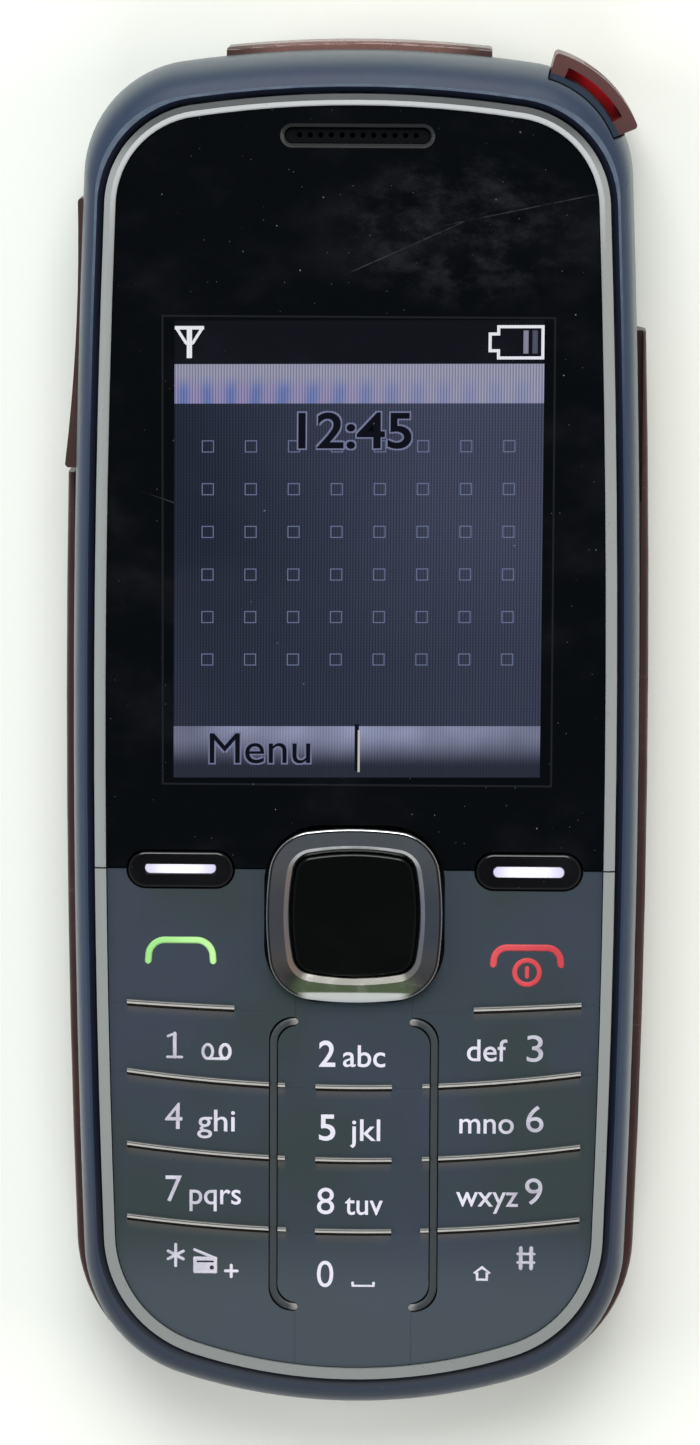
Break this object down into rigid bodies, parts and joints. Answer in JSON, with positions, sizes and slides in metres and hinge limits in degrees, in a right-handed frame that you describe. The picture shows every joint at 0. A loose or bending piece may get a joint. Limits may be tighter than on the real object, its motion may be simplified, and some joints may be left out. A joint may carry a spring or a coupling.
{
  "type": "feature phone",
  "caption": "Candybar keypad phone with a colour display under a gloss window, silver trim ring, square navigation key, sliding rear cover and strap eyelet.",
  "frame": {"origin": "middle of the overall box, on the plane that the back rests on", "axes": "+Z out of the screen, +Y towards the earpiece end, +X to the right as seen from the screen side; the phone lies on its back"},
  "size_m": [0.045, 0.1064, 0.0138],
  "materials": {
    "body_blue": "soft matte paint",
    "cover_maroon": "semi gloss",
    "trim_silver": "satin",
    "navi_chrome": "polished",
    "navi_black": "polished",
    "window_black": "polished, dusty",
    "soft_black": "polished",
    "light_bar": "translucent white",
    "key_grey": "fine matte",
    "lens_smoke": "translucent",
    "eyelet_rose": "translucent",
    "web_rubber": "matte",
    "steel": "plain",
    "gold_brass": "plated",
    "display_glass": "polished",
    "inner_white": "matte",
    "inner_black": "matte",
    "flex_amber": "satin",
    "board_green": "solder mask",
    "battery_grey": "satin"
  },
  "bodies": {
    "handset": {"antenna_carrier": "inner_black", "antenna_foil": "gold_brass", "back_upper": "body_blue", "backlight_tray": "inner_white", "battery": "battery_grey", "battery_contacts": "gold_brass", "board_chips": "inner_black", "charger_socket": "inner_black", "chassis": "inner_black", "display_flex": "flex_amber", "display_window": "window_black", "earpiece_mesh": "steel", "earpiece_speaker": "inner_black", "front_cover": "body_blue", "headset_socket": "inner_black", "key_domes": "steel", "key_lights": "inner_white", "keypad_web": "web_rubber", "lcd_panel": "display_glass", "loudspeaker": "inner_black", "main_board": "board_green", "microphone": "steel", "screws": "steel", "shield_can_logic": "steel", "shield_can_radio": "steel", "side_switches": "inner_black", "sim_holder": "steel", "strap_eyelet": "eyelet_rose", "torch_led": "inner_white", "torch_lens": "lens_smoke", "trim_lower": "trim_silver", "trim_upper": "trim_silver", "vibra_motor": "steel", "window_gasket": "inner_black"},
    "key_call": {"key_call": "key_grey"},
    "key_1": {"key_1": "key_grey"},
    "key_4": {"key_4": "key_grey"},
    "key_7": {"key_7": "key_grey"},
    "key_star": {"key_star": "key_grey"},
    "key_2": {"key_2": "key_grey"},
    "key_5": {"key_5": "key_grey"},
    "key_8": {"key_8": "key_grey"},
    "key_0": {"key_0": "key_grey"},
    "key_end": {"key_end": "key_grey"},
    "key_3": {"key_3": "key_grey"},
    "key_6": {"key_6": "key_grey"},
    "key_9": {"key_9": "key_grey"},
    "key_hash": {"key_hash": "key_grey"},
    "soft_left": {"soft_key_left": "soft_black", "soft_bar_left": "light_bar"},
    "soft_right": {"soft_key_right": "soft_black", "soft_bar_right": "light_bar"},
    "navi_plate": {"navi_plate": "inner_black"},
    "navi_ring": {"navi_ring": "navi_chrome"},
    "navi_key": {"navi_key": "navi_black"},
    "volume_rocker": {"volume_rocker": "cover_maroon"},
    "rear_cover": {"rear_cover": "cover_maroon"},
    "vibra_weight": {"vibra_weight": "steel"}
  },
  "joints": [
    {"name": "key_call_press", "type": "slide", "parent": "handset", "child": "key_call", "axis": [0, 0, -1], "range_m": [0, 0.0003], "stiffness_N_per_m": 600},
    {"name": "key_1_press", "type": "slide", "parent": "handset", "child": "key_1", "axis": [0, 0, -1], "range_m": [0, 0.0003], "stiffness_N_per_m": 600},
    {"name": "key_4_press", "type": "slide", "parent": "handset", "child": "key_4", "axis": [0, 0, -1], "range_m": [0, 0.0003], "stiffness_N_per_m": 600},
    {"name": "key_7_press", "type": "slide", "parent": "handset", "child": "key_7", "axis": [0, 0, -1], "range_m": [0, 0.0003], "stiffness_N_per_m": 600},
    {"name": "key_star_press", "type": "slide", "parent": "handset", "child": "key_star", "axis": [0, 0, -1], "range_m": [0, 0.0003], "stiffness_N_per_m": 600},
    {"name": "key_2_press", "type": "slide", "parent": "handset", "child": "key_2", "axis": [0, 0, -1], "range_m": [0, 0.0003], "stiffness_N_per_m": 600},
    {"name": "key_5_press", "type": "slide", "parent": "handset", "child": "key_5", "axis": [0, 0, -1], "range_m": [0, 0.0003], "stiffness_N_per_m": 600},
    {"name": "key_8_press", "type": "slide", "parent": "handset", "child": "key_8", "axis": [0, 0, -1], "range_m": [0, 0.0003], "stiffness_N_per_m": 600},
    {"name": "key_0_press", "type": "slide", "parent": "handset", "child": "key_0", "axis": [0, 0, -1], "range_m": [0, 0.0003], "stiffness_N_per_m": 600},
    {"name": "key_end_press", "type": "slide", "parent": "handset", "child": "key_end", "axis": [0, 0, -1], "range_m": [0, 0.0003], "stiffness_N_per_m": 600},
    {"name": "key_3_press", "type": "slide", "parent": "handset", "child": "key_3", "axis": [0, 0, -1], "range_m": [0, 0.0003], "stiffness_N_per_m": 600},
    {"name": "key_6_press", "type": "slide", "parent": "handset", "child": "key_6", "axis": [0, 0, -1], "range_m": [0, 0.0003], "stiffness_N_per_m": 600},
    {"name": "key_9_press", "type": "slide", "parent": "handset", "child": "key_9", "axis": [0, 0, -1], "range_m": [0, 0.0003], "stiffness_N_per_m": 600},
    {"name": "key_hash_press", "type": "slide", "parent": "handset", "child": "key_hash", "axis": [0, 0, -1], "range_m": [0, 0.0003], "stiffness_N_per_m": 600},
    {"name": "soft_left_press", "type": "slide", "parent": "handset", "child": "soft_left", "axis": [0, 0, -1], "range_m": [0, 0.0003], "stiffness_N_per_m": 600},
    {"name": "soft_right_press", "type": "slide", "parent": "handset", "child": "soft_right", "axis": [0, 0, -1], "range_m": [0, 0.0003], "stiffness_N_per_m": 600},
    {"name": "navi_tilt_up_down", "type": "hinge", "parent": "handset", "child": "navi_plate", "pos_m": [0, -0.0133, 0.01145], "axis": [1, 0, 0], "range_deg": [-1.5, 1.5], "stiffness_Nm_per_rad": 0.05},
    {"name": "navi_tilt_left_right", "type": "hinge", "parent": "navi_plate", "child": "navi_ring", "pos_m": [0, -0.0133, 0.01145], "axis": [0, 1, 0], "range_deg": [-1.5, 1.5], "stiffness_Nm_per_rad": 0.05},
    {"name": "navi_key_press", "type": "slide", "parent": "navi_ring", "child": "navi_key", "axis": [0, 0, -1], "range_m": [0, 0.0003], "stiffness_N_per_m": 600},
    {"name": "volume_rock", "type": "hinge", "parent": "handset", "child": "volume_rocker", "pos_m": [-0.0213, 0.031, 0.00835], "axis": [0, 0, 1], "range_deg": [-2, 2], "stiffness_Nm_per_rad": 0.05},
    {"name": "rear_cover_slide", "type": "slide", "parent": "handset", "child": "rear_cover", "axis": [0, -1, 0], "range_m": [0, 0.085]},
    {"name": "vibra_weight_spin", "type": "hinge", "parent": "handset", "child": "vibra_weight", "pos_m": [0.0135, 0.0356, 0.00365], "axis": [1, 0, 0], "continuous": true}
  ]
}
